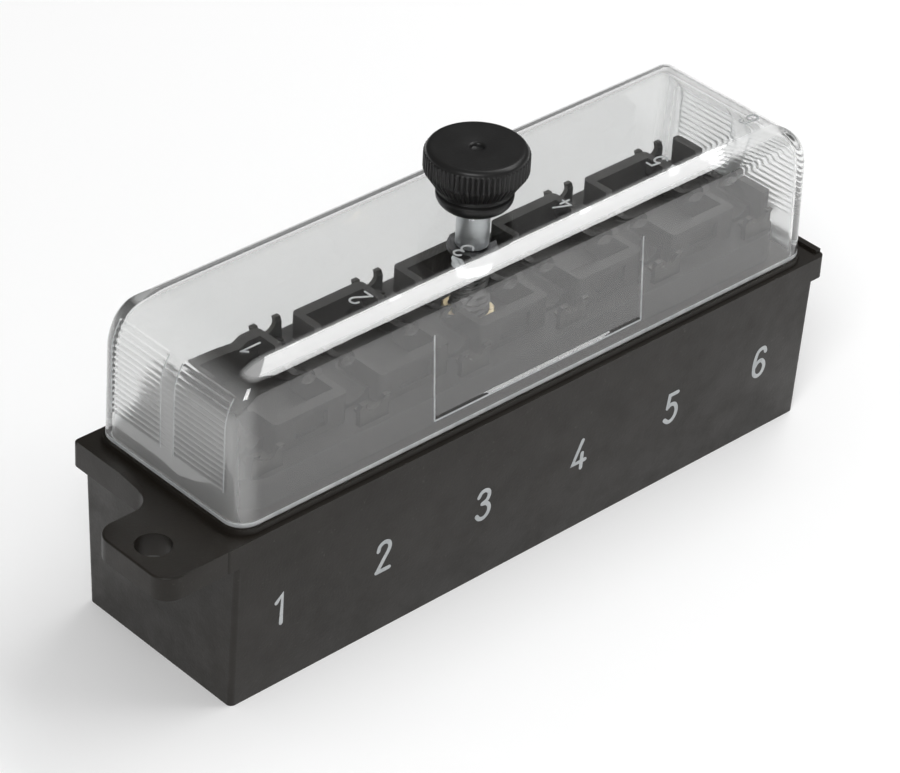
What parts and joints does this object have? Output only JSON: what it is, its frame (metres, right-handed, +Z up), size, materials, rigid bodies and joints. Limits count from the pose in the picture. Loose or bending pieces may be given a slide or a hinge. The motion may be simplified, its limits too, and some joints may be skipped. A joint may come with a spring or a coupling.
{
  "type": "fuse box",
  "caption": "Dark moulded fuse box with a row of fuse bays, diagonal fixing ears, blade terminals inside the skirt, and a clear lift-off cover held by a captive thumb screw.",
  "frame": {"origin": "middle of the foot of the skirt, under the thumb screw", "axes": "+X along the row of bays to the right, +Y to the rear, +Z up along the thumb screw"},
  "size_m": [0.148, 0.0352, 0.0655],
  "materials": {
    "base_moulding": "satin",
    "clear_moulding": "polished",
    "knob": "satin",
    "plated_steel": "plated",
    "clip_steel": "satin",
    "insert_brass": "satin",
    "contact_metal": "tinned"
  },
  "bodies": {
    "base": {"base_housing": "base_moulding", "threaded_insert": "insert_brass", "front_contact_1": "contact_metal", "front_contact_2": "contact_metal", "front_contact_3": "contact_metal", "front_contact_4": "contact_metal", "front_contact_5": "contact_metal", "front_contact_6": "contact_metal", "rear_contact_1": "contact_metal", "rear_contact_2": "contact_metal", "rear_contact_3": "contact_metal", "rear_contact_4": "contact_metal", "rear_contact_5": "contact_metal", "rear_contact_6": "contact_metal"},
    "cover": {"clear_cover": "clear_moulding"},
    "screw_lift": {"retaining_clip": "clip_steel"},
    "thumb_screw": {"thumb_screw_knob": "knob", "thumb_screw_shank": "plated_steel"}
  },
  "joints": [
    {"name": "cover_lift", "type": "slide", "parent": "base", "child": "cover", "axis": [0, 0, 1], "range_m": [0, 0.03]},
    {"name": "screw_rise", "type": "slide", "parent": "cover", "child": "screw_lift", "axis": [0, 0, 1], "range_m": [0, 0.005]},
    {"name": "screw_turn", "type": "hinge", "parent": "screw_lift", "child": "thumb_screw", "pos_m": [0, 0, 0.0555], "axis": [0, 0, 1], "range_deg": [0, 1800]}
  ],
  "couplings": [
    {"joint": "screw_rise", "follows": "screw_turn", "m_per_rad": 0.00015915}
  ]
}
